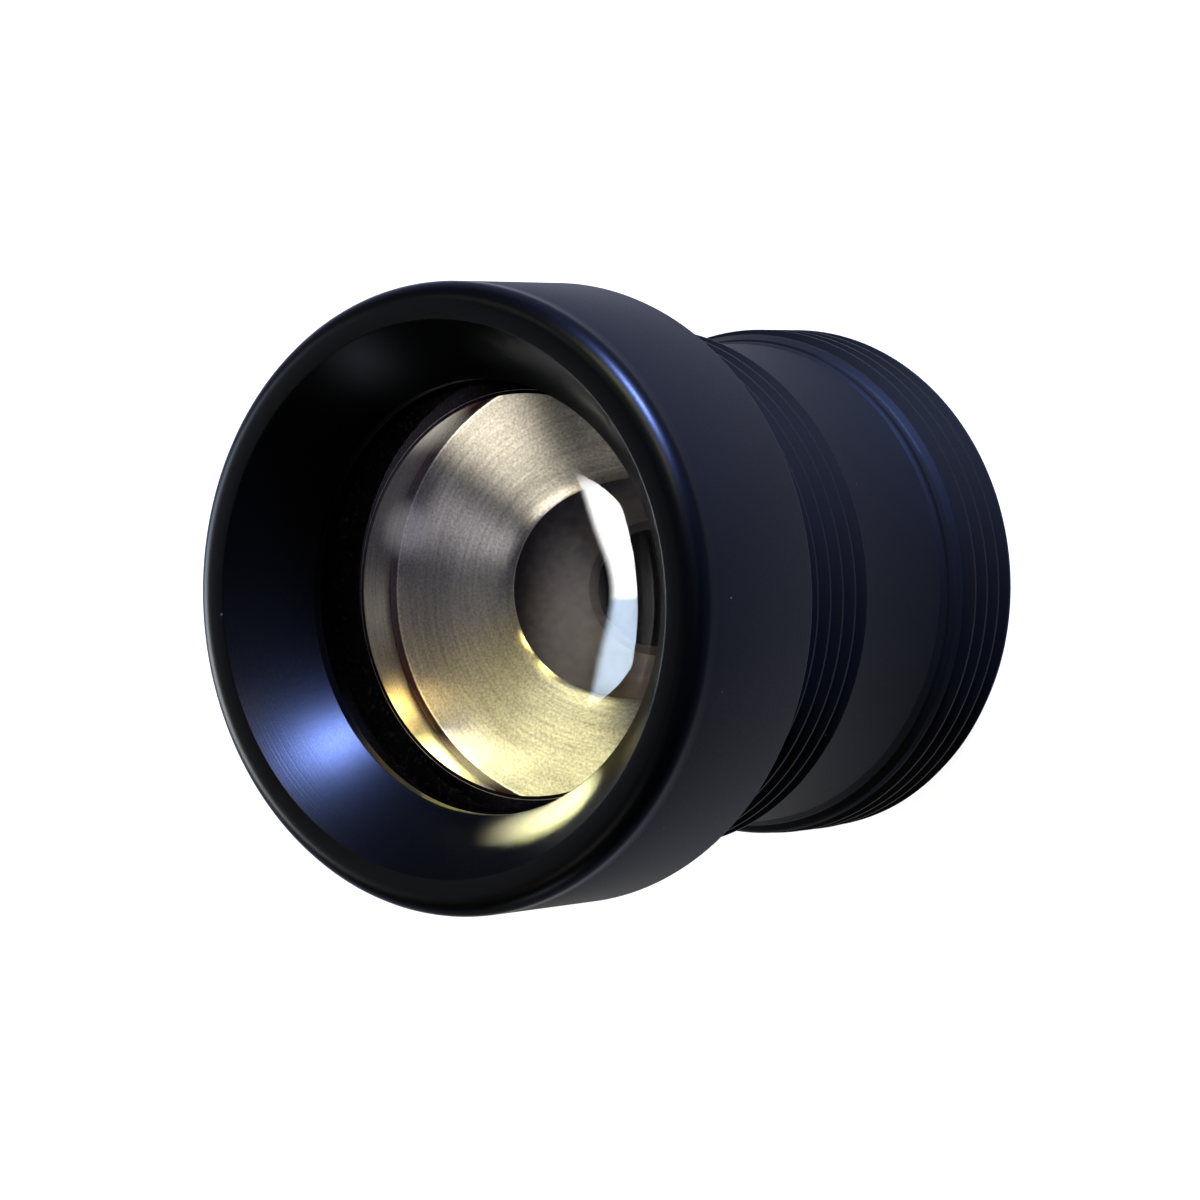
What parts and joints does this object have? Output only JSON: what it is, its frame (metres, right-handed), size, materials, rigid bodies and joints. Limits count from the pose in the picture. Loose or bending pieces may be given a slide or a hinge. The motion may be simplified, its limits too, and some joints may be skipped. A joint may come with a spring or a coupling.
{
  "type": "board camera lens",
  "caption": "Small fixed-focus board camera lens: black threaded barrel, wide dished hood in front, coated glass elements, spacers and a stop inside.",
  "frame": {"origin": "centre of the rear end face, at the foot of the optical axis", "axes": "+Z along the optical axis towards the scene, +X and +Y across it with +X along the two spanner slots"},
  "size_m": [0.014, 0.014, 0.0145],
  "materials": {
    "black_anodised": "satin black anodised, fine turned",
    "bright_turned": "bare, face turned, with fine concentric tool marks",
    "blackened_brass": "blackened, matt",
    "coated_glass": "polished, with a purple anti-reflection coating"
  },
  "bodies": {
    "root": {"hood": "black_anodised", "barrel": "black_anodised", "front_element": "coated_glass", "front_spacer": "bright_turned", "stop_funnel": "bright_turned", "aperture_disc": "blackened_brass", "second_element": "coated_glass", "second_spacer": "blackened_brass", "flint_element": "coated_glass", "crown_element": "coated_glass", "rear_spacer": "blackened_brass", "rear_element": "coated_glass", "rear_retaining_ring": "black_anodised"}
  },
  "joints": []
}
